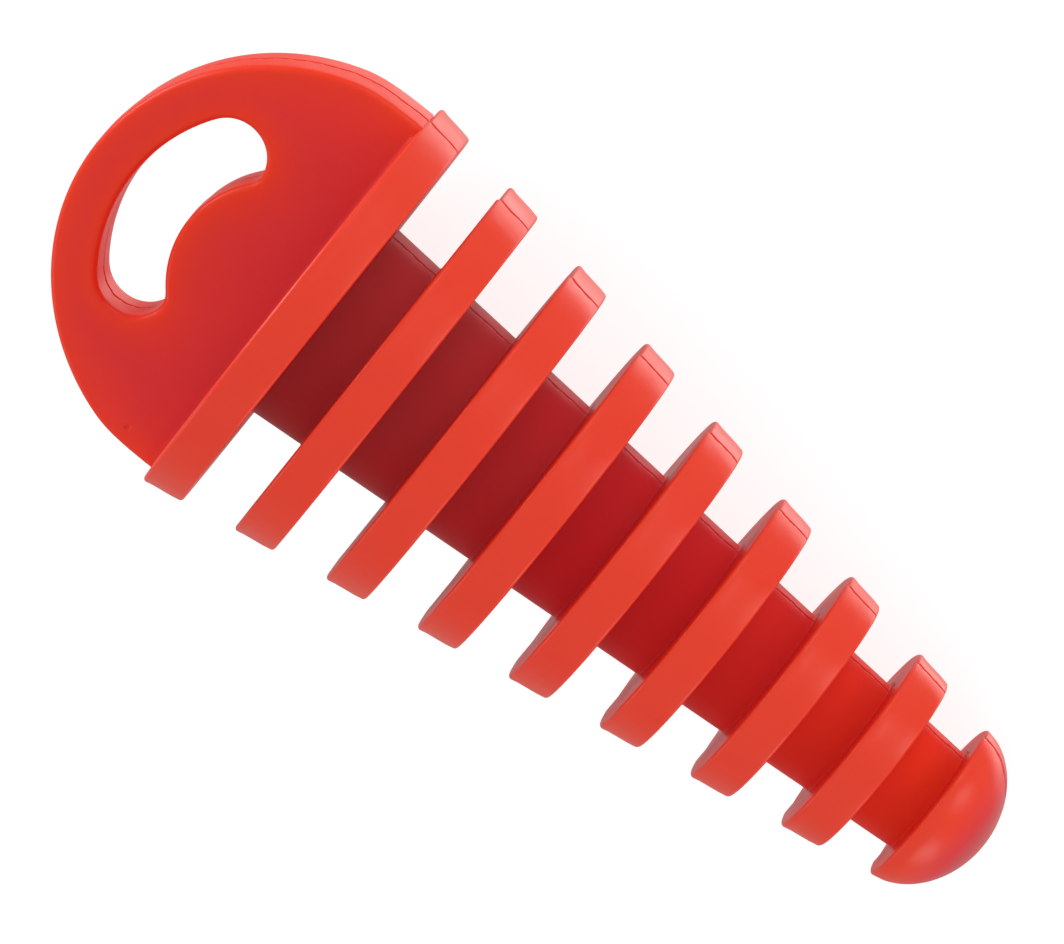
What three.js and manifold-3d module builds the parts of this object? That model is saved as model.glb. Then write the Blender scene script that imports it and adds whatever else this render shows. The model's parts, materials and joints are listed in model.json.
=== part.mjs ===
// Exhaust wash plug: a tapered rubber bung with seven sealing fins, a wide stop flange,
// a domed nose and a D-shaped pull handle. The real plug is one solid moulding. Here it is
// divided where the rubber flexes, so that the handle and every neck can bend on a hinge.
//
// Millimetres, +Z up. The plug lies on its side on the rims of its fins: +X runs towards
// the nose, +Y across the plug, and the origin is under the middle of the bounding box.
// Each piece is drawn in plug axes: X along the spine from the flange's handle side,
// Y across the handle plate, Z square to the plate.
import * as THREE from 'three';
import { mergeVertices } from 'three/addons/utils/BufferGeometryUtils.js';
import Module from 'manifold-3d';

// Fins
const FLANGE_RADIUS = 31.1;
const FIN_COUNT = 7;
const FIN_PITCH = 13.33;
const NOSE_PITCH = 13.1; // last fin to nose
const FIN_THICKNESS = 5.8;
const ENVELOPE_TAPER = 0.178; // radius lost per millimetre of spine, from rim to rim
const RIM_TAPER = 0.143; // radius lost per millimetre across one rim
const RIM_CHAMFER = 0.5;

// Spine
const CORE_RADIUS = 15.68; // at the flange's handle side
const CORE_TAPER = 0.074;
const JOINT_GAP = 0.3; // clearance where two pieces of the moulding meet
const NECK_RELIEF = THREE.MathUtils.degToRad(7); // cone that lets a neck bend six degrees

// Nose
const NOSE_HEIGHT = 9.45;
const NOSE_FULLNESS = 1.85; // 2 would be an ellipse
const NOSE_STEPS = 9;

// Handle plate: a round outline and a curved finger slot about one centre
const HANDLE_THICKNESS = 7.7;
const HANDLE_RADIUS = 31.6;
const HANDLE_CENTRE = -0.3; // on the spine, behind the flange
const ROOT_HALF_WIDTH = 31; // the straight sides at the root are flush with the flange
const HANDLE_EDGE = 1.2; // bevel round the plate's edges
const HANDLE_EDGE_STEPS = 2;
const HANDLE_HINGE = -JOINT_GAP - HANDLE_THICKNESS / 2; // on the spine, inside the root
const SLOT_OUTER_RADIUS = 25.3;
const SLOT_END_RADIUS = 5;
const SLOT_END_OFFSET = 11.2; // from the spine to the middle of each rounded end
const LOBE_RADIUS = 15.6; // the plate's own lobe, which pushes into the slot
const LOBE_TOP = -16.4;
const ROOT_ALLOWANCE = 4; // extra plate, cut off again when its root is rounded
const SLAB_REACH = 40; // longer than the plate each way

// Colours, which differ a little because light shines through the thinner rubber
const RIM_RED = 0xdc3a28;
const CORE_RED = 0xb02a2c;
const HANDLE_RED = 0xd0342c;
const ROUGHNESS = 0.42;

// Facets
const SEGMENTS = 32;
const ARC_DIVISIONS = 12;
const MERGE_DISTANCE = 1e-4;

const wasm = await Module();
wasm.setup();

const finStart = (index) => (index > FIN_COUNT
  ? FIN_COUNT * FIN_PITCH + NOSE_PITCH
  : index * FIN_PITCH);
const finRadius = (index) => FLANGE_RADIUS - ENVELOPE_TAPER * finStart(index);
const coreRadius = (x) => CORE_RADIUS - CORE_TAPER * x;

function rubber(colour) {
  return new THREE.MeshStandardMaterial({ color: colour, roughness: ROUGHNESS, metalness: 0 });
}

function piece(name, geometry, colour) {
  const mesh = new THREE.Mesh(geometry, rubber(colour));
  mesh.name = name;
  return mesh;
}

// A body turned about the spine, from [distance along the spine, radius] pairs. Half a
// segment of turn puts a flat of the polygon, not a corner, straight down.
function turned(profile) {
  const points = profile.map(([along, radius]) => new THREE.Vector2(radius, along));
  const geometry = new THREE.LatheGeometry(points, SEGMENTS, Math.PI / SEGMENTS);
  geometry.rotateZ(-Math.PI / 2);
  return geometry;
}

// The flange and the fins share one section: a slightly tapered rim between two flat faces,
// with a ring on the nose side where the core meets the face.
function disc(index) {
  const start = finStart(index);
  const end = start + FIN_THICKNESS;
  const radius = finRadius(index);
  const endRadius = radius - RIM_TAPER * FIN_THICKNESS;
  return turned([
    [start, 0],
    [start, radius - RIM_CHAMFER],
    [start + RIM_CHAMFER, radius],
    [end - RIM_CHAMFER, endRadius],
    [end, endRadius - RIM_CHAMFER],
    [end, coreRadius(end)],
    [end, 0],
  ]);
}

// One length of the core, from the nose side of a fin to the next fin. Its far end is a
// shallow cone, so the next fin can rock on the neck without touching it.
function core(index) {
  const start = finStart(index - 1) + FIN_THICKNESS + JOINT_GAP;
  const tip = finStart(index) - JOINT_GAP;
  const radius = coreRadius(tip);
  return turned([
    [start, 0],
    [start, coreRadius(start)],
    [tip - radius * Math.tan(NECK_RELIEF), radius],
    [tip, 0],
  ]);
}

function nose() {
  const start = finStart(FIN_COUNT + 1);
  const radius = finRadius(FIN_COUNT + 1);
  const dome = [];
  for (let step = 1; step <= NOSE_STEPS; step += 1) {
    const along = Math.sin((step / NOSE_STEPS) * (Math.PI / 2));
    dome.push([
      start + along * NOSE_HEIGHT,
      step === NOSE_STEPS ? 0 : radius * Math.sqrt(1 - along ** NOSE_FULLNESS),
    ]);
  }
  return turned([
    [start, 0],
    [start, radius - RIM_CHAMFER],
    [start + RIM_CHAMFER, radius],
    ...dome,
  ]);
}

// The finger slot: an arc under the top of the handle, two rounded ends, and the plate's
// lobe, which bulges into the slot from the flange side.
function slotPath() {
  const endReach = SLOT_OUTER_RADIUS - SLOT_END_RADIUS;
  const endAngle = Math.asin(SLOT_END_OFFSET / endReach);
  const endX = HANDLE_CENTRE - endReach * Math.cos(endAngle);
  const lobeX = LOBE_TOP + LOBE_RADIUS;
  const spread = Math.hypot(endX - lobeX, SLOT_END_OFFSET);
  const atLobe = Math.acos((spread ** 2 + LOBE_RADIUS ** 2 - SLOT_END_RADIUS ** 2)
    / (2 * spread * LOBE_RADIUS));
  const lobeAngle = Math.asin(SLOT_END_OFFSET / spread) + atLobe;
  const cuspX = lobeX - LOBE_RADIUS * Math.cos(lobeAngle);
  const cuspY = LOBE_RADIUS * Math.sin(lobeAngle);
  const cuspAngle = Math.atan2(cuspY - SLOT_END_OFFSET, cuspX - endX);
  const path = new THREE.Path();
  path.absarc(HANDLE_CENTRE, 0, SLOT_OUTER_RADIUS, Math.PI - endAngle, Math.PI + endAngle);
  path.absarc(endX, -SLOT_END_OFFSET, SLOT_END_RADIUS, Math.PI + endAngle, -cuspAngle);
  path.absarc(lobeX, 0, LOBE_RADIUS, Math.PI + lobeAngle, Math.PI - lobeAngle, true);
  path.absarc(endX, SLOT_END_OFFSET, SLOT_END_RADIUS, cuspAngle, Math.PI - endAngle);
  return path;
}

function plate() {
  const sideAngle = Math.asin(ROOT_HALF_WIDTH / HANDLE_RADIUS);
  const outline = new THREE.Shape();
  outline.moveTo(ROOT_ALLOWANCE, ROOT_HALF_WIDTH);
  outline.absarc(HANDLE_CENTRE, 0, HANDLE_RADIUS, Math.PI - sideAngle, Math.PI + sideAngle);
  outline.lineTo(ROOT_ALLOWANCE, -ROOT_HALF_WIDTH);
  outline.closePath();
  outline.holes.push(slotPath());
  const geometry = new THREE.ExtrudeGeometry(outline, {
    depth: HANDLE_THICKNESS - 2 * HANDLE_EDGE,
    curveSegments: ARC_DIVISIONS,
    bevelSegments: HANDLE_EDGE_STEPS,
    bevelThickness: HANDLE_EDGE,
    bevelSize: HANDLE_EDGE,
    bevelOffset: -HANDLE_EDGE,
  });
  geometry.translate(0, 0, HANDLE_EDGE - HANDLE_THICKNESS / 2);
  return geometry;
}

// The side view of the plate, drawn across it: its root is half round about the hinge line,
// so the handle can fold without touching the flange.
function rootSlab() {
  const half = HANDLE_THICKNESS / 2;
  const profile = new THREE.Shape();
  profile.moveTo(-SLAB_REACH, -2 * half);
  profile.lineTo(HANDLE_HINGE, -2 * half);
  profile.lineTo(HANDLE_HINGE, -half);
  profile.absarc(HANDLE_HINGE, 0, half, -Math.PI / 2, Math.PI / 2);
  profile.lineTo(HANDLE_HINGE, 2 * half);
  profile.lineTo(-SLAB_REACH, 2 * half);
  profile.closePath();
  const geometry = new THREE.ExtrudeGeometry(profile, {
    depth: 2 * SLAB_REACH,
    curveSegments: ARC_DIVISIONS / 2,
    bevelEnabled: false,
  });
  geometry.translate(0, 0, -SLAB_REACH);
  geometry.rotateX(Math.PI / 2);
  return geometry;
}

function toManifold(geometry) {
  const bare = geometry.clone();
  bare.deleteAttribute('normal');
  bare.deleteAttribute('uv');
  const merged = mergeVertices(bare, MERGE_DISTANCE);
  return new wasm.Manifold(new wasm.Mesh({
    numProp: 3,
    vertProperties: new Float32Array(merged.attributes.position.array),
    triVerts: new Uint32Array(merged.index.array),
  }));
}

function fromManifold(solid) {
  const mesh = solid.getMesh();
  const geometry = new THREE.BufferGeometry();
  geometry.setAttribute('position', new THREE.BufferAttribute(mesh.vertProperties, 3));
  geometry.setIndex(new THREE.BufferAttribute(mesh.triVerts, 1));
  geometry.computeVertexNormals();
  return geometry;
}

function handle() {
  return fromManifold(toManifold(plate()).intersect(toManifold(rootSlab())));
}

function buildPlug() {
  const plug = new THREE.Group();
  plug.add(piece('handle', handle(), HANDLE_RED));
  plug.add(piece('flange', disc(0), RIM_RED));
  for (let index = 1; index <= FIN_COUNT; index += 1) {
    plug.add(piece(`core_${index}`, core(index), CORE_RED));
    plug.add(piece(`fin_${index}`, disc(index), RIM_RED));
  }
  plug.add(piece(`core_${FIN_COUNT + 1}`, core(FIN_COUNT + 1), CORE_RED));
  plug.add(piece('nose', nose(), RIM_RED));
  return plug;
}

// Lays the plug on the flats of its rims and puts the origin under the box's middle.
function layDown(plug) {
  plug.rotation.y = Math.atan(ENVELOPE_TAPER * Math.cos(Math.PI / SEGMENTS));
  plug.updateMatrixWorld(true);
  const box = new THREE.Box3().setFromObject(plug, true);
  const middle = box.getCenter(new THREE.Vector3());
  plug.position.set(-middle.x, -middle.y, -box.min.z);
}

const part = new THREE.Group();
const plug = buildPlug();
layDown(plug);
part.add(plug);

export default part;
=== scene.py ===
"""A red rubber exhaust wash plug, lying on its side on a pale floor.

The CAD pieces are replaced by smooth mouldings with rounded edges, fillets, a mould line and
the slight step between the two halves of the mould. Each is drawn in plug axes, in
millimetres: along the spine from the flange's handle side, across the handle plate, and
square to the plate. in_row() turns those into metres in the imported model's frame.
"""
import json
import math

import bpy
import numpy as np
from mathutils import Matrix, Vector
from mathutils.geometry import delaunay_2d_cdt


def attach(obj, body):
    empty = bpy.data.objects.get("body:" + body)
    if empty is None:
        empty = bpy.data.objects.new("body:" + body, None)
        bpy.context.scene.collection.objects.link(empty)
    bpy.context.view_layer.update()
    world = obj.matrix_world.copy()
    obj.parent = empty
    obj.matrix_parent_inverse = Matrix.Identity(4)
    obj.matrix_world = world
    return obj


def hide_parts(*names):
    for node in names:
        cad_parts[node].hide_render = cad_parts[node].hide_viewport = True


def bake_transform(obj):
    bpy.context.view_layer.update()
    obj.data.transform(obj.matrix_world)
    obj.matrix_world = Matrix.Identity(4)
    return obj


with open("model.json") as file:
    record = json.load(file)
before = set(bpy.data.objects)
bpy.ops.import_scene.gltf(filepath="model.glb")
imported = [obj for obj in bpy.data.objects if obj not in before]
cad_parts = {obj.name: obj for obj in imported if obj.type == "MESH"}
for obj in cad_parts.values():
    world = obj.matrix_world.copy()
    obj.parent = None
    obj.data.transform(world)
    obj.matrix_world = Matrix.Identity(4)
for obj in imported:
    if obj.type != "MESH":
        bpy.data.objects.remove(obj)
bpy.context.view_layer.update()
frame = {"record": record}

MM = 0.001

# Discs and spine, as in the CAD
FIN_COUNT = 7
FLANGE_RADIUS = 31.1
FIN_PITCH = 13.33
NOSE_PITCH = 13.1  # last fin to nose
FIN_THICKNESS = 5.8
ENVELOPE_TAPER = 0.178  # radius lost per millimetre of spine, from rim to rim
RIM_TAPER = 0.143  # radius lost per millimetre across one rim
CORE_RADIUS = 15.68  # at the flange's handle side
CORE_TAPER = 0.074
NOSE_HEIGHT = 9.45
NOSE_FULLNESS = 1.85  # 2 would be an ellipse

# Edges of the discs and ends of the necks
EDGE_ROUNDING = 0.5
FACE_MARGIN = 0.5  # from an edge's rounding to the next ring of its flat face
CORE_MARGIN = 1.5  # from the core to the next ring of a flat face
NOSE_FACE_RINGS = (0.4, 0.8)  # rings of the nose's flat face, as shares of its radius
NOSE_FACE_MARGIN = 0.4
NOSE_EDGE_END = 100  # degrees round the nose's edge rounding, where its dome takes over
DOME_START = 12  # degrees round the dome, where it does so
NECK_FILLET = 0.2
SKIRT = 0.5  # how far a neck's end spreads beyond its fillet, hidden inside the disc
SKIRT_DEPTH = 0.03  # how deep inside the disc it does so

# Handle plate
HANDLE_THICKNESS = 7.7
HANDLE_HINGE = -4.15  # on the spine, inside the root
HANDLE_RADIUS = 31.6
HANDLE_CENTRE = -0.3  # on the spine, behind the flange
ROOT_HALF_WIDTH = 31.0  # of the straight sides at the root, flush with the flange
SIDE_SOFTNESS = 1.0  # of the bend between the round end and the straight sides
SIDE_END = 0.1  # the straight sides end just inside the flange
HANDLE_ROOT = 1.5  # how far the plate runs into the flange
HIDDEN_SIDES = ((HANDLE_ROOT, 1.2), (0.5, 0.4))  # inside the flange: how far in, how far narrower
HANDLE_ROUNDING = 0.9
HANDLE_DRAFT = 0.03  # how far the walls lean outwards, per millimetre, down to the mould line
CROWN = 0.12  # how much lower the face is at its edges
CROWN_REACH = 3.0
ROOT_FILLET = 0.6

# Finger slot in the plate
SLOT_OUTER_RADIUS = 25.3
SLOT_END_RADIUS = 5.0
SLOT_END_OFFSET = 11.2  # from the spine to the middle of each rounded end
LOBE_RADIUS = 15.6  # the plate's own lobe, which pushes into the slot
LOBE_TOP = -16.4
CORNER_SOFTNESS = 0.75  # of the slot's corners

# Gate mark on the plate's upper face
MARK = (-6.0, -28.2)  # along the spine, across the plate
MARK_RADIUS = 0.42
MARK_DEPTH = 0.25
MARK_SURROUND = 1.1  # radius kept for the mark's own points

# Mould line, where the height above the middle plane is 0
HALF_SHIFT = 0.3  # how much thinner the back half of a disc is, on its handle side
HALF_STEP = 0.1  # how much lower the back half's surface is
SEAM_DEPTH = 0.24
SEAM_WIDTH = 0.20
SEAM_WAVES = ((0.10, 1.3, 0.4), (0.10, 3.1, 1.9), (0.05, 6.1, 0.0))  # height, radians per mm, phase

# Painted light and shade in the colour, from 0 to 1: low is painted shade, high a painted glow of
# light through the rubber
SEAM_SHADE = 0.9  # painted shade along the mould line's groove, taken off the painted light
PLATE_PAINTED_LIGHT = 0.35  # the middle of the plate, in painted shade
PLATE_LIGHT_REACH = 5.0  # from the plate's edge, over which its extra painted light falls to a third
SLOT_LIGHT_RATE = 1.5  # how much faster that falls from the slot's edge
DISC_SHADE_SHARE = 0.6  # of the radius, up to which a disc gets full painted shade, towards the core
DISC_LIGHTENING_SHARE = 0.35  # of the radius, over which that turns to painted light at the rim
CORE_MOST_LIGHT = 0.8  # painted light of a core of the lit radius or less
LIT_CORE_RADIUS = 8.0  # that radius
CORE_SHADING_RADIUS = 6.0  # a core of this much more radius is in full painted shade, deep between bigger fins

# Mesh density
ROUND_STEPS = 168  # round a disc or a neck
SEAM_STEPS = 10  # each way from the mould line
SEAM_SPACING = 0.085
ARC_STEPS = 6
RIM_STEPS = 5
NECK_STEPS = 13
DOME_STEPS = 26
OUTLINE_STEPS = 140
ROOT_STEPS = 50
SLOT_ARC_STEPS = 40
SLOT_END_STEPS = 60
LOBE_STEPS = 80
SLOT_FINE_SPACING = 0.2  # while its corners are softened
SLOT_POINTS = 190
SOFTENING_POINTS = 12  # each way
WALL_ROUNDING_STEPS = 7
WALL_HEIGHTS = (2.0, 1.4, 1.0)  # between the rounding and the rows near the mould line
WALL_SEAM_ROWS = 9
WALL_SEAM_SPACING = 0.09
FACE_SPACING = 1.1
EDGE_ROWS = (0.5, 1.1, 1.8)  # rows of points inside the flat face's edges
ROW_MARGIN = 0.5  # between those rows, or the root's, and the evenly spaced points
ROOT_ROWS = (-0.85, -0.6, -0.45, -0.3, -0.18, -0.08, 0.0, 0.1)  # down the root's fillet
ROOT_ROW_END = 29  # across the plate
MARK_RINGS = (0.12, 0.24, 0.36, 0.5, 0.65, 0.8)
MARK_RING_POINTS = 14
MERGE_DISTANCE = 1e-6

# Rubber, one red all through: its colour from painted shade, crimson, to painted light, more orange
LIT_AND_SHADED_REDS = (
    (0.0, (0.59, 0.048, 0.054)),
    (PLATE_PAINTED_LIGHT, (0.70, 0.024, 0.030)),
    (1.0, (0.82, 0.036, 0.008)),
)
GLOSS = {"rim": 0.40, "plate": 0.24, "core": 0.03}  # the rims shine most and the cores least
ROUGHNESS = (0.28, 0.40)
SUBSURFACE_WEIGHT = 0.12
SUBSURFACE_RADIUS = (1.0, 0.2, 0.1)
SUBSURFACE_SCALE = 0.0015
MOTTLE = 0.4  # how far the mottle spreads a colour along the scale of painted light
# Noise: scale, detail, roughness
MOTTLE_NOISE = (70, 5, 0.6)
ROUGHNESS_NOISE = (140, 4, 0.5)
WAVE_NOISE = (160, 2, 0.5)
GRAIN_NOISE = (2600, 3, 0.5)
NOISE_SPREAD = (0.3, 0.7)  # what the noise mostly stays within
# Bumps: depth in metres, strength
WAVE_BUMP = (0.00025, 0.5)
GRAIN_BUMP = (0.00003, 0.35)

# Floor
FLOOR_LEVEL = -0.00015  # just under the smooth rims, which reach lower than the CAD's flats
FLOOR_REACH = 3.0
FLOOR_TONES = (0.28, 0.30)
FLOOR_SPECKLE_SCALE = 30
FLOOR_ROUGHNESS = 0.9
FLOOR_GLOSS = 0.1
FLOOR_GLOW = 0.85

# Softboxes round the plug: azimuth from +X towards +Y and height in degrees, power in watts
SOFTBOXES = {
    "key": (180, 15, 7.5),
    "front": (42, 15, 3.0),
    "low": (330, 15, 2.5),
    "far": (97, 15, 2.3),
    "left": (240, 25, 1.5),
}
SOFTBOX_SIZE = 0.7
SOFTBOX_DISTANCE = 1.3
SOFTBOX_AIM = Vector((0, 0, 0.03))

# Room: its light by the height of the direction, which is the sine of its angle
ROOM_LIGHT = ((0.0, 0.35), (0.35, 0.55), (0.6, 0.7), (1.0, 0.75))
LOW_GLOW = (0.6, 3.6)  # nearly straight below, on the -Y side and on the +Y side
LOW_GLOW_TURN = (0, 0.4)  # how far towards +Y the one turns into the other
LOW_GLOW_TOP = (-0.95, -0.75)  # height of the direction where the glow gives way to the room

# Camera
LENS = 232.1
SENSOR = 36.0
CAMERA_TARGET = (39.13, 1.42, 0.0)  # in plug axes
CAMERA_DISTANCE = 895.6
CAMERA_TILT = math.radians(23.88)  # from square to the plate towards the plate's width
CAMERA_LEAN = math.radians(-1.753)  # towards the nose
CAMERA_ROLL = math.radians(39.35)


# ---- Frame -------------------------------------------------------------------------------

mounts = {mount["name"]: mount for mount in frame["record"]["mounts"]}
hinges = {joint["name"]: joint for joint in frame["record"]["behaviour"]["joints"]}
SPINE = np.array(mounts["stop_face"]["axis"], float)
SQUARE = np.array(mounts["handle_top_face"]["axis"], float)
ACROSS = np.cross(SQUARE, SPINE)
AXES = np.array([SPINE, ACROSS, SQUARE])
ORIGIN = np.array(hinges["handle_fold"]["pos_m"], float) - HANDLE_HINGE * MM * SPINE


def in_row(points):
    """Points in plug axes, in millimetres, as metres in the row's frame."""
    return ORIGIN + MM * np.atleast_2d(np.asarray(points, float)) @ AXES


def disc_start(index):
    """Where disc index begins along the spine: 0 is the flange, 8 the nose."""
    if index > FIN_COUNT:
        return FIN_COUNT * FIN_PITCH + NOSE_PITCH
    return index * FIN_PITCH


def disc_radius(index):
    return FLANGE_RADIUS - ENVELOPE_TAPER * disc_start(index)


def core_radius(along):
    return CORE_RADIUS - CORE_TAPER * along


# ---- Mould line --------------------------------------------------------------------------

def smoothstep(share):
    share = np.clip(share, 0, 1)
    return share * share * (3 - 2 * share)


def seam_height(along):
    """How far the wavering mould line strays from the middle plane, along its length."""
    return sum(height * np.sin(rate * along + phase) for height, rate, phase in SEAM_WAVES)


def seam(points, outward, along, shift=0.0):
    """Lowers and shifts the back half of the moulding, and sinks a fine line where the halves
    meet. Also says, from 0 to 1, how much each point is on that line."""
    height = points[:, 2] - seam_height(along)
    back = smoothstep(0.5 - height / (2 * SEAM_WIDTH))
    line = np.exp(-(height / SEAM_WIDTH) ** 2)
    moved = points - outward * (HALF_STEP * back + SEAM_DEPTH * line)[:, None]
    moved[:, 0] += shift * back
    return moved, line


# ---- Discs and necks ---------------------------------------------------------------------

def new_piece(name, points, faces, material, painted_light):
    """A smooth piece of the moulding. painted_light says, point by point, how much light is painted
    into its colour: a painted glow looks orange, and painted shade looks crimson."""
    mesh = bpy.data.meshes.new(name)
    mesh.from_pydata([tuple(point) for point in in_row(points)], [], faces)
    attribute = mesh.attributes.new("painted_light", "FLOAT", "POINT")
    attribute.data.foreach_set("value", np.array(painted_light, np.float32))
    mesh.shade_smooth()
    mesh.materials.append(material)
    piece = bpy.data.objects.new(name, mesh)
    bpy.context.scene.collection.objects.link(piece)
    return piece


def round_angles(radius):
    """Angles round the spine, close together where the mould line runs."""
    fine = [step * SEAM_SPACING / radius for step in range(-SEAM_STEPS, SEAM_STEPS + 1)]
    edge = fine[-1]
    span = math.pi - 2 * edge
    steps = ROUND_STEPS // 2
    angles = []
    for side in (0, math.pi):
        angles += [side + angle for angle in fine]
        angles += [side + edge + span * step / steps for step in range(1, steps)]
    return np.array(angles)


def turned_faces(ring_count, count, first, last):
    """The faces of ring_count rings of count points, closed by a point before and one after."""
    top = (ring_count - 1) * count
    faces = []
    for here in range(count):
        after = (here + 1) % count
        faces.append((first, after, here))
        for ring in range(ring_count - 1):
            near, beside = ring * count + here, ring * count + after
            faces.append((near, beside, beside + count, near + count))
        faces.append((top + here, top + after, last))
    return faces


def turned(name, profile, material, painted_light_at, shift=0.0):
    """A closed body turned about the spine from (along, radius) pairs that start and end on it.
    shift is how far its handle side moves on the back half of the moulding, and
    painted_light_at gives the painted light and shade of its colour at given radii."""
    profile = np.array(profile, float)
    start, end = profile[0, 0], profile[-1, 0]
    angles = round_angles(profile[:, 1].max())
    count = len(angles)
    outward = np.column_stack([np.zeros(count), np.cos(angles), np.sin(angles)])
    points, lines = [], []
    for along, radius in profile[1:-1]:
        ring = radius * outward
        ring[:, 0] = along
        ring_shift = shift * (end - along) / (end - start)
        moved, line = seam(ring, outward, np.full(count, along), ring_shift)
        points.append(moved)
        lines.append(line)
    points = np.vstack(points + [[[start, 0, 0]], [[end, 0, 0]]])
    faces = turned_faces(len(profile) - 2, count, len(points) - 2, len(points) - 1)
    lines = np.r_[np.concatenate(lines), 0, 0]
    # painted light by radius, less painted shade along the mould line
    painted_light = painted_light_at(np.hypot(points[:, 1], points[:, 2])) - SEAM_SHADE * lines
    return new_piece(name, points, faces, material, painted_light)


def arc(centre, radius, start, end):
    """(along, radius) pairs on an arc; angles in degrees, 0 along the spine, 90 outwards."""
    angles = np.radians(np.linspace(start, end, ARC_STEPS + 1))
    return [(centre[0] + radius * math.cos(a), centre[1] + radius * math.sin(a)) for a in angles]


def disc_profile(index):
    start = disc_start(index)
    end = start + FIN_THICKNESS
    radius = disc_radius(index)
    end_radius = radius - RIM_TAPER * FIN_THICKNESS
    slope = math.degrees(math.atan(RIM_TAPER))
    core = core_radius(start)
    edge = EDGE_ROUNDING
    face = [core / 2, core + CORE_MARGIN, (core + radius) / 2]
    start_face = face + [radius - edge - FACE_MARGIN]
    end_face = face + [end_radius - edge - FACE_MARGIN]
    rim = np.linspace(start + edge, end - edge, RIM_STEPS + 1)[1:-1]
    profile = [(start, 0)]
    profile += [(start, ring) for ring in start_face]
    profile += arc((start + edge, radius - edge), edge, 180, 90 - slope)
    profile += [(along, radius - RIM_TAPER * (along - start)) for along in rim]
    profile += arc((end - edge, end_radius - edge), edge, 90 - slope, 0)
    profile += [(end, ring) for ring in reversed(end_face)]
    profile += [(end, 0)]
    return profile


def nose_profile():
    start = disc_start(FIN_COUNT + 1)
    radius = disc_radius(FIN_COUNT + 1)
    edge = EDGE_ROUNDING
    face = [share * radius for share in NOSE_FACE_RINGS] + [radius - edge - NOSE_FACE_MARGIN]
    profile = [(start, 0)]
    profile += [(start, ring) for ring in face]
    profile += arc((start + edge, radius - edge), edge, 180, NOSE_EDGE_END)
    for angle in np.radians(np.linspace(DOME_START, 90, DOME_STEPS + 1)):
        rise = math.sin(angle)
        fall = math.sqrt(max(0, 1 - rise ** NOSE_FULLNESS))
        profile.append((start + rise * NOSE_HEIGHT, radius * fall))
    return profile


def neck_profile(index):
    """The core between disc index - 1 and disc index, with a fillet at each end."""
    start = disc_start(index - 1) + FIN_THICKNESS
    end = disc_start(index)
    slope = math.degrees(math.atan(CORE_TAPER))
    fillet = NECK_FILLET
    near, far = core_radius(start) + fillet, core_radius(end) + fillet
    middle = np.linspace(start + fillet, end - fillet, NECK_STEPS + 1)[1:-1]
    profile = [(start - SKIRT_DEPTH, 0), (start - SKIRT_DEPTH, near + SKIRT)]
    profile += arc((start + fillet, near), fillet, 180, 270 - slope)
    profile += [(along, core_radius(along)) for along in middle]
    profile += arc((end - fillet, far), fillet, 270 - slope, 360)
    profile += [(end + SKIRT_DEPTH, far + SKIRT), (end + SKIRT_DEPTH, 0)]
    return profile


# ---- Lines and regions of the handle plate -----------------------------------------------

def closed_line(points):
    """The points with the first again at the end, and the length of line up to each."""
    points = np.vstack([points, points[:1]])
    steps = np.linalg.norm(np.diff(points, axis=0), axis=1)
    return points, np.r_[0, np.cumsum(steps)]


def evenly_spaced(points, count):
    """A closed line through points, redrawn with count points at even spacing."""
    points, lengths = closed_line(points)
    at = np.linspace(0, lengths[-1], count, endpoint=False)
    return np.column_stack([np.interp(at, lengths, points[:, k]) for k in (0, 1)])


def softened(points, reach):
    """A closed, evenly spaced line with its corners rounded off."""
    step = np.linalg.norm(points[1] - points[0])
    offsets = np.arange(-SOFTENING_POINTS, SOFTENING_POINTS + 1)
    weights = np.exp(-0.5 * (offsets * step / reach) ** 2)
    weights /= weights.sum()
    return sum(w * np.roll(points, -k, axis=0) for k, w in zip(offsets, weights))


def soft_limit(sizes, limit, softness):
    """Sizes that level off at a limit, with a soft bend instead of a corner."""
    share = np.clip(0.5 + (limit - sizes) / (2 * softness), 0, 1)
    return limit + (sizes - limit) * share - softness * share * (1 - share)


def inside(points, line):
    """Whether each point is inside a closed line."""
    x, y = points[:, 0][:, None], points[:, 1][:, None]
    x0, y0 = line[:, 0][None, :], line[:, 1][None, :]
    x1, y1 = np.roll(line[:, 0], -1)[None, :], np.roll(line[:, 1], -1)[None, :]
    crosses = (y0 > y) != (y1 > y)
    climb = np.where(y1 == y0, 1, y1 - y0)  # a level edge is never crossed
    at = x0 + (y - y0) / climb * (x1 - x0)
    return (crosses & (x < at)).sum(axis=1) % 2 == 1


def distance_to(points, line):
    return np.min(np.linalg.norm(points[:, None, :] - line[None, :, :], axis=2), axis=1)


def distance_to_mark(points):
    return np.hypot(points[:, 0] - MARK[0], points[:, 1] - MARK[1])


def right_normals(outline):
    """Unit normals of a closed line, pointing to the right of its direction of travel."""
    ahead = np.roll(outline, -1, axis=0) - np.roll(outline, 1, axis=0)
    normals = np.column_stack([ahead[:, 1], -ahead[:, 0]])
    return normals / np.linalg.norm(normals, axis=1)[:, None]


def plate_outline(inset):
    """The handle's outline, drawn in by inset everywhere but at its root."""
    radius = HANDLE_RADIUS - inset
    width = ROOT_HALF_WIDTH - inset
    first = math.acos((SIDE_END - HANDLE_CENTRE) / radius)
    angles = np.linspace(first, 2 * math.pi - first, OUTLINE_STEPS + 1)
    across = radius * np.sin(angles)
    across = np.sign(across) * soft_limit(np.abs(across), width, SIDE_SOFTNESS)
    curve = np.column_stack([HANDLE_CENTRE + radius * np.cos(angles), across])
    side = [(along, width - narrower) for along, narrower in HIDDEN_SIDES]
    other_side = [(along, -sideways) for along, sideways in reversed(side)]
    corner = side[0][1]
    end = [(HANDLE_ROOT, sideways) for sideways in np.linspace(-corner, corner, ROOT_STEPS + 1)]
    return np.vstack([side, curve, other_side, end[1:-1]])


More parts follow.
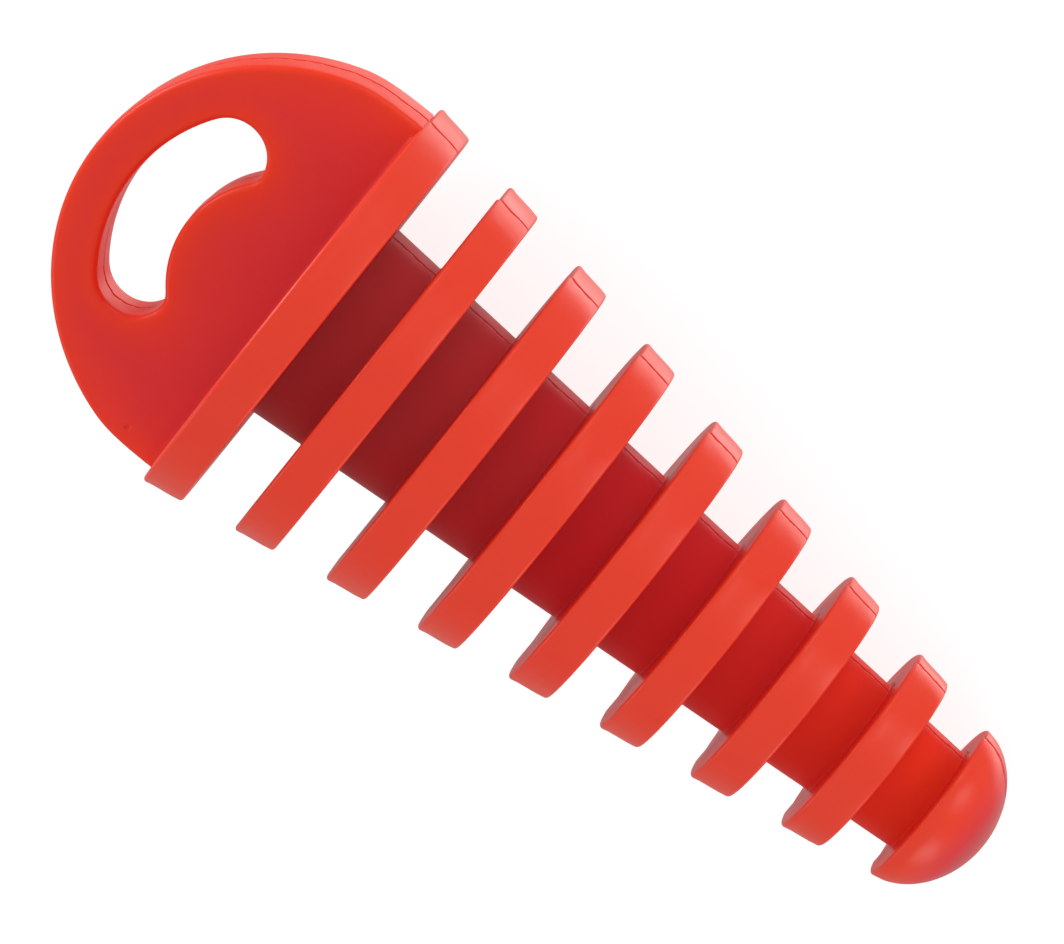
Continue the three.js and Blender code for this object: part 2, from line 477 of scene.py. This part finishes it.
def circle_points(centre, radius, start, end, steps):
    """Points on an arc of a circle in the plate's plane, without its last one."""
    angles = np.linspace(start, end, steps, endpoint=False)
    return np.column_stack([
        centre[0] + radius * np.cos(angles),
        centre[1] + radius * np.sin(angles),
    ])


def slot_outline(outset):
    """The slot's outline, widened by outset: an arc, two rounded ends and the plate's lobe."""
    outer = SLOT_OUTER_RADIUS + outset
    end = SLOT_END_RADIUS + outset
    lobe = LOBE_RADIUS - outset
    reach = SLOT_OUTER_RADIUS - SLOT_END_RADIUS
    end_angle = math.asin(SLOT_END_OFFSET / reach)
    end_x = HANDLE_CENTRE - reach * math.cos(end_angle)
    lobe_x = LOBE_TOP + LOBE_RADIUS
    spread = math.hypot(end_x - lobe_x, SLOT_END_OFFSET)
    at_lobe = math.acos((spread ** 2 + lobe ** 2 - end ** 2) / (2 * spread * lobe))
    lobe_angle = math.asin(SLOT_END_OFFSET / spread) + at_lobe
    cusp = (lobe_x - lobe * math.cos(lobe_angle), lobe * math.sin(lobe_angle))
    cusp_angle = math.atan2(cusp[1] - SLOT_END_OFFSET, cusp[0] - end_x)
    pi = math.pi
    centre, lobe_centre = (HANDLE_CENTRE, 0), (lobe_x, 0)
    right_end, left_end = (end_x, -SLOT_END_OFFSET), (end_x, SLOT_END_OFFSET)
    points = np.vstack([
        circle_points(centre, outer, pi, pi + end_angle, SLOT_ARC_STEPS),
        circle_points(right_end, end, pi + end_angle, 2 * pi - cusp_angle, SLOT_END_STEPS),
        circle_points(lobe_centre, lobe, pi + lobe_angle, pi - lobe_angle, LOBE_STEPS),
        circle_points(left_end, end, cusp_angle, pi - end_angle, SLOT_END_STEPS),
        circle_points(centre, outer, pi - end_angle, pi, SLOT_ARC_STEPS),
    ])
    length = closed_line(points)[1][-1]
    fine = evenly_spaced(points, int(length / SLOT_FINE_SPACING))
    return evenly_spaced(softened(fine, CORNER_SOFTNESS), SLOT_POINTS)


# ---- Mesh of the handle plate ------------------------------------------------------------

def wall_steps():
    """(inset, height) pairs down a wall of the plate, from its upper face to its lower one."""
    edge = HANDLE_THICKNESS / 2 - CROWN - HANDLE_ROUNDING
    top = []
    for angle in np.radians(np.linspace(90, 0, WALL_ROUNDING_STEPS + 1)):
        inset = HANDLE_ROUNDING * (1 - math.cos(angle))
        top.append((inset, edge + HANDLE_ROUNDING * math.sin(angle)))
    heights = list(WALL_HEIGHTS)
    heights += [row * WALL_SEAM_SPACING for row in range(WALL_SEAM_ROWS, 0, -1)]
    top += [(-HANDLE_DRAFT * (edge - height), height) for height in heights]
    middle = [(-HANDLE_DRAFT * edge, 0)]
    return top + middle + [(inset, -height) for inset, height in reversed(top)]


def even_grid(low, high):
    """Points at even spacing in a triangular pattern, over the box from low to high."""
    row_spacing = FACE_SPACING * math.sqrt(3) / 2
    columns = int((high[1] - low[1]) / FACE_SPACING) + 1
    grid = []
    for row in range(int((high[0] - low[0]) / row_spacing)):
        along = low[0] + (row + 0.5) * row_spacing
        offset = 0.5 * (row % 2)
        grid += [(along, low[1] + (column + offset) * FACE_SPACING) for column in range(columns)]
    return np.array(grid)


def face_points(outline, slot):
    """Points inside the plate's flat face, closer together near its edges, root and mark."""
    root_edge = -ROOT_FILLET - ROW_MARGIN
    clear = EDGE_ROWS[-1] + ROW_MARGIN
    grid = even_grid(outline.min(axis=0), outline.max(axis=0))
    keep = inside(grid, outline) & ~inside(grid, slot)
    keep &= (distance_to(grid, outline) > clear) & (distance_to(grid, slot) > clear)
    keep &= (grid[:, 0] < root_edge) & (distance_to_mark(grid) >= MARK_SURROUND)
    across = range(-ROOT_ROW_END, ROOT_ROW_END + 1)
    root = [(along, sideways) for along in ROOT_ROWS for sideways in across]
    mark = [circle_points(MARK, radius, 0, 2 * math.pi, MARK_RING_POINTS) for radius in MARK_RINGS]
    insets = [HANDLE_ROUNDING + row for row in EDGE_ROWS]
    rows = [plate_outline(inset) for inset in insets]
    rows = [row[row[:, 0] < root_edge] for row in rows]
    rows += [slot_outline(inset) for inset in insets]
    rows = [row[distance_to_mark(row) > MARK_SURROUND] for row in rows]
    return np.vstack([grid[keep], root, *mark, [MARK], *rows])


def face_height(places, outline, slot, sign):
    """The face's height: a slight crown, a fillet where it meets the flange, the gate mark."""
    rim = outline[outline[:, 0] < 0]
    away = np.minimum(distance_to(places, rim), distance_to(places, slot))
    height = HANDLE_THICKNESS / 2 - CROWN * np.exp(-away / CROWN_REACH)
    rise = np.clip(places[:, 0] + ROOT_FILLET, 0, ROOT_FILLET)
    height += ROOT_FILLET - np.sqrt(ROOT_FILLET ** 2 - rise ** 2)
    if sign > 0:
        height -= MARK_DEPTH * np.exp(-(distance_to_mark(places) / MARK_RADIUS) ** 4)
    return sign * height


def flat_face(outline, slot):
    """The plate's face as a flat mesh: its points, its triangles, and for each point its number
    along the outline and then the slot, or a number past both for a point between them."""
    borders = len(outline) + len(slot)
    given = np.vstack([outline, slot, face_points(outline, slot)])
    edges = [(k, (k + 1) % len(outline)) for k in range(len(outline))]
    edges += [(len(outline) + k, len(outline) + (k + 1) % len(slot)) for k in range(len(slot))]
    made, _, triangles, sources, _, _ = delaunay_2d_cdt(
        [Vector(point) for point in given], edges, [], 0, MERGE_DISTANCE, True)
    made = np.array([tuple(point) for point in made])
    middles = np.array([made[list(triangle)].mean(axis=0) for triangle in triangles])
    keep = inside(middles, outline) & ~inside(middles, slot)
    triangles = [triangle for triangle, wanted in zip(triangles, keep) if wanted]
    return made, triangles, [min(source, default=borders) for source in sources]


def wall(rings, steps, side, first):
    """One wall of the plate: its points, its mould line and its faces. side is 1 for the outer
    wall and -1 for the slot's; first is the number of its first point in the whole mesh."""
    count = len(rings[0])
    normals = side * right_normals(rings[len(rings) // 2])
    outward = np.column_stack([normals, np.zeros(count)])
    walked = closed_line(rings[0])[1][:-1]
    points, lines, faces = [], [], []
    for ring, (_, height) in zip(rings, steps):
        solid = np.column_stack([ring, np.full(count, height)])
        moved, line = seam(solid, outward, walked)
        points.append(moved)
        lines.append(line)
    for row in range(len(rings) - 1):
        for here in range(count):
            near = first + row * count + here
            beside = first + row * count + (here + 1) % count
            quad = (near, near + count, beside + count, beside)
            faces.append(quad[::side])
    return np.vstack(points), np.concatenate(lines), faces


def plate_painted_light(places, rim, slot):
    """Painted light on the plate: more towards its edges, and painted shade in its middle."""
    away = np.minimum(distance_to(places, rim), SLOT_LIGHT_RATE * distance_to(places, slot))
    return PLATE_PAINTED_LIGHT + (1 - PLATE_PAINTED_LIGHT) * np.exp(-away / PLATE_LIGHT_REACH)


def handle_plate(material):
    """The plate's two walls, then its upper and its lower face, which share the walls' edges."""
    steps = wall_steps()
    outer_rings = [plate_outline(inset) for inset, _ in steps]
    slot_rings = [slot_outline(inset) for inset, _ in steps]
    outline, slot = outer_rings[0], slot_rings[0]
    outer_points, outer_lines, faces = wall(outer_rings, steps, 1, 0)
    slot_first = len(outer_points)
    slot_points, slot_lines, slot_faces = wall(slot_rings, steps, -1, slot_first)
    points = [*outer_points, *slot_points]
    faces += slot_faces
    flat, triangles, borders = flat_face(outline, slot)
    for sign, row in ((1, 0), (-1, len(steps) - 1)):
        heights = face_height(flat, outline, slot, sign)
        numbers = []
        for (along, across), height, border in zip(flat, heights, borders):
            if border < len(outline):
                numbers.append(row * len(outline) + border)
            elif border < len(outline) + len(slot):
                numbers.append(slot_first + row * len(slot) + border - len(outline))
            else:
                numbers.append(len(points))
                points.append((along, across, height))
        for triangle in triangles:
            faces.append(tuple(numbers[corner] for corner in triangle)[::sign])
    points = np.array(points)
    lines = np.zeros(len(points))
    lines[:len(outer_lines) + len(slot_lines)] = np.r_[outer_lines, slot_lines]
    widest = outer_rings[len(steps) // 2]
    # painted light towards the plate's edges, painted shade in its middle and along the mould line
    painted_light = plate_painted_light(points[:, :2], widest[widest[:, 0] < 0], slot) - SEAM_SHADE * lines
    return new_piece("handle_plate", points, faces, material, painted_light)


# ---- Materials ---------------------------------------------------------------------------

def new_material(name):
    """A material, its node tree and its shader."""
    material = bpy.data.materials.new(name)
    material.use_nodes = True
    tree = material.node_tree
    return material, tree, tree.nodes["Principled BSDF"]


def noise(tree, scale, detail, roughness):
    made = tree.nodes.new("ShaderNodeTexNoise")
    made.inputs["Scale"].default_value = scale
    made.inputs["Detail"].default_value = detail
    made.inputs["Roughness"].default_value = roughness
    place = tree.nodes.new("ShaderNodeTexCoord")
    tree.links.new(place.outputs["Object"], made.inputs["Vector"])
    return made.outputs["Fac"]


def colour_ramp(tree, source, stops):
    made = tree.nodes.new("ShaderNodeValToRGB")
    elements = made.color_ramp.elements
    while len(elements) < len(stops):
        elements.new(0.5)
    for element, (position, colour) in zip(elements, stops):
        element.position = position
        element.color = (*colour, 1)
    tree.links.new(source, made.inputs["Fac"])
    return made.outputs["Color"]


def map_range(tree, source, given, wanted):
    """Turns the range given, from low to high, into the range wanted."""
    made = tree.nodes.new("ShaderNodeMapRange")
    made.inputs["From Min"].default_value = given[0]
    made.inputs["From Max"].default_value = given[1]
    made.inputs["To Min"].default_value = wanted[0]
    made.inputs["To Max"].default_value = wanted[1]
    tree.links.new(source, made.inputs["Value"])
    return made.outputs["Result"]


def bump(tree, source, depth, strength):
    made = tree.nodes.new("ShaderNodeBump")
    made.inputs["Strength"].default_value = strength
    made.inputs["Distance"].default_value = depth
    tree.links.new(source, made.inputs["Height"])
    return made


def moulded_rubber(part):
    """The rubber, as glossy as that part of the plug is, with light and shade painted into its
    colour.
    """
    material, tree, shader = new_material(f"moulded_rubber_{part}")
    shader.inputs["Subsurface Weight"].default_value = SUBSURFACE_WEIGHT
    shader.inputs["Subsurface Radius"].default_value = SUBSURFACE_RADIUS
    shader.inputs["Subsurface Scale"].default_value = SUBSURFACE_SCALE
    shader.inputs["Specular IOR Level"].default_value = GLOSS[part]
    painted_light = tree.nodes.new("ShaderNodeAttribute")
    painted_light.attribute_name = "painted_light"
    mottle = tree.nodes.new("ShaderNodeMath")
    mottle.operation = "MULTIPLY_ADD"
    mottle.inputs[1].default_value = MOTTLE
    mottle.inputs[2].default_value = -MOTTLE / 2
    tree.links.new(noise(tree, *MOTTLE_NOISE), mottle.inputs[0])
    mottled = tree.nodes.new("ShaderNodeMath")
    mottled.operation = "ADD"
    tree.links.new(painted_light.outputs["Fac"], mottled.inputs[0])
    tree.links.new(mottle.outputs["Value"], mottled.inputs[1])
    # painted light and shade: the ramp turns the attribute into crimson shade and an orange glow
    colour = colour_ramp(tree, mottled.outputs["Value"], LIT_AND_SHADED_REDS)
    tree.links.new(colour, shader.inputs["Base Color"])
    roughness = map_range(tree, noise(tree, *ROUGHNESS_NOISE), NOISE_SPREAD, ROUGHNESS)
    tree.links.new(roughness, shader.inputs["Roughness"])
    waves = bump(tree, noise(tree, *WAVE_NOISE), *WAVE_BUMP)
    grain = bump(tree, noise(tree, *GRAIN_NOISE), *GRAIN_BUMP)
    tree.links.new(waves.outputs["Normal"], grain.inputs["Normal"])
    tree.links.new(grain.outputs["Normal"], shader.inputs["Normal"])
    return material


def floor_white():
    material, tree, shader = new_material("floor_white")
    shader.inputs["Roughness"].default_value = FLOOR_ROUGHNESS
    shader.inputs["Specular IOR Level"].default_value = FLOOR_GLOSS
    speckle = tree.nodes.new("ShaderNodeTexNoise")
    speckle.inputs["Scale"].default_value = FLOOR_SPECKLE_SCALE
    stops = [(position, (tone, tone, tone)) for position, tone in enumerate(FLOOR_TONES)]
    colour = colour_ramp(tree, speckle.outputs["Fac"], stops)
    tree.links.new(colour, shader.inputs["Base Color"])
    shader.inputs["Emission Color"].default_value = (1, 1, 1, 1)
    shader.inputs["Emission Strength"].default_value = FLOOR_GLOW
    return material


# ---- Studio ------------------------------------------------------------------------------

def camera():
    across = math.cos(CAMERA_LEAN)
    back = np.array([
        math.sin(CAMERA_LEAN),
        across * math.sin(CAMERA_TILT),
        across * math.cos(CAMERA_TILT),
    ])
    level = np.array([0.0, 1.0, 0.0]) - back[1] * back
    level /= np.linalg.norm(level)
    side = np.cross(-back, level)
    up = math.cos(CAMERA_ROLL) * level - math.sin(CAMERA_ROLL) * side
    right = np.cross(up, back)
    data = bpy.data.cameras.new("camera")
    data.lens = LENS
    data.sensor_width = SENSOR
    made = bpy.data.objects.new("camera", data)
    place = in_row(np.array(CAMERA_TARGET) + CAMERA_DISTANCE * back)[0]
    turn = np.array([right, up, back]) @ AXES
    made.matrix_world = Matrix([
        (*turn[:, 0], place[0]),
        (*turn[:, 1], place[1]),
        (*turn[:, 2], place[2]),
        (0, 0, 0, 1),
    ])
    bpy.context.scene.collection.objects.link(made)
    bpy.context.scene.camera = made


def softbox(name, azimuth, height, power):
    azimuth, height = math.radians(azimuth), math.radians(height)
    way = Vector((
        math.cos(height) * math.cos(azimuth),
        math.cos(height) * math.sin(azimuth),
        math.sin(height),
    ))
    data = bpy.data.lights.new(name, "AREA")
    data.shape = "DISK"
    data.size = SOFTBOX_SIZE
    data.energy = power
    made = bpy.data.objects.new(name, data)
    made.location = way * SOFTBOX_DISTANCE + SOFTBOX_AIM
    made.rotation_mode = "QUATERNION"
    made.rotation_quaternion = way.to_track_quat("Z", "Y")
    bpy.context.scene.collection.objects.link(made)


def room():
    """A soft white room, dimmer towards the horizon, with a glow from nearly straight below."""
    world = bpy.data.worlds.new("studio")
    world.use_nodes = True
    tree = world.node_tree
    sky = tree.nodes["Background"]
    brightest = max(light for _, light in ROOM_LIGHT)
    sky.inputs["Strength"].default_value = brightest
    place = tree.nodes.new("ShaderNodeTexCoord")
    split = tree.nodes.new("ShaderNodeSeparateXYZ")
    tree.links.new(place.outputs["Generated"], split.inputs["Vector"])
    stops = [(height, (light / brightest,) * 3) for height, light in ROOM_LIGHT]
    walls = colour_ramp(tree, split.outputs["Z"], stops)
    glow = [light / brightest for light in LOW_GLOW]
    mix = tree.nodes.new("ShaderNodeMix")
    mix.data_type = "RGBA"
    above = map_range(tree, split.outputs["Z"], LOW_GLOW_TOP, (0, 1))
    tree.links.new(above, mix.inputs["Factor"])
    tree.links.new(map_range(tree, split.outputs["Y"], LOW_GLOW_TURN, glow), mix.inputs["A"])
    tree.links.new(walls, mix.inputs["B"])
    tree.links.new(mix.outputs["Result"], sky.inputs["Color"])
    bpy.context.scene.world = world
    bpy.context.scene.view_settings.view_transform = "Standard"


def white_floor():
    """A pale floor, left out of the rubber's glossy reflections."""
    corners = ((-1, -1), (1, -1), (1, 1), (-1, 1))
    points = [(x * FLOOR_REACH, y * FLOOR_REACH, FLOOR_LEVEL) for x, y in corners]
    mesh = bpy.data.meshes.new("floor")
    mesh.from_pydata(points, [], [(0, 1, 2, 3)])
    mesh.materials.append(floor_white())
    floor = bpy.data.objects.new("floor", mesh)
    floor.visible_glossy = False
    bpy.context.scene.collection.objects.link(floor)


def studio():
    room()
    for name, (azimuth, height, power) in SOFTBOXES.items():
        softbox(name, azimuth, height, power)
    white_floor()


# ---- Building ----------------------------------------------------------------------------

def body_name(index):
    if index == 0:
        return "flange"
    return "nose" if index > FIN_COUNT else f"fin_{index}"


def build_handle(material):
    handle = handle_plate(material)
    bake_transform(handle)
    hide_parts("handle")


def build_disc(index, material):
    body = body_name(index)
    profile = nose_profile() if body == "nose" else disc_profile(index)
    rim = disc_radius(index)

    # painted shade towards the core, deep between the fins, and painted light towards the rim
    def painted_light_at(radii):
        return np.clip((radii / rim - DISC_SHADE_SHARE) / DISC_LIGHTENING_SHARE, 0, 1)

    piece = turned(f"{body}_moulding", profile, material, painted_light_at, HALF_SHIFT)
    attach(piece, body)
    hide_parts(body)


def build_neck(index, material):
    # painted shade on the cores: deeper between the bigger fins, lighter towards the nose
    shading = np.clip((core_radius(disc_start(index)) - LIT_CORE_RADIUS) / CORE_SHADING_RADIUS, 0, 1)

    def painted_light_at(radii):
        return np.full(len(radii), CORE_MOST_LIGHT * (1 - shading))

    neck = turned(f"neck_{index}_moulding", neck_profile(index), material, painted_light_at)
    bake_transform(neck)
    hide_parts(f"core_{index}")


def build():
    rubber = {part: moulded_rubber(part) for part in GLOSS}
    build_handle(rubber["plate"])
    for index in range(FIN_COUNT + 2):
        build_disc(index, rubber["rim"])
    for index in range(1, FIN_COUNT + 2):
        build_neck(index, rubber["core"])


camera()
studio()
build()
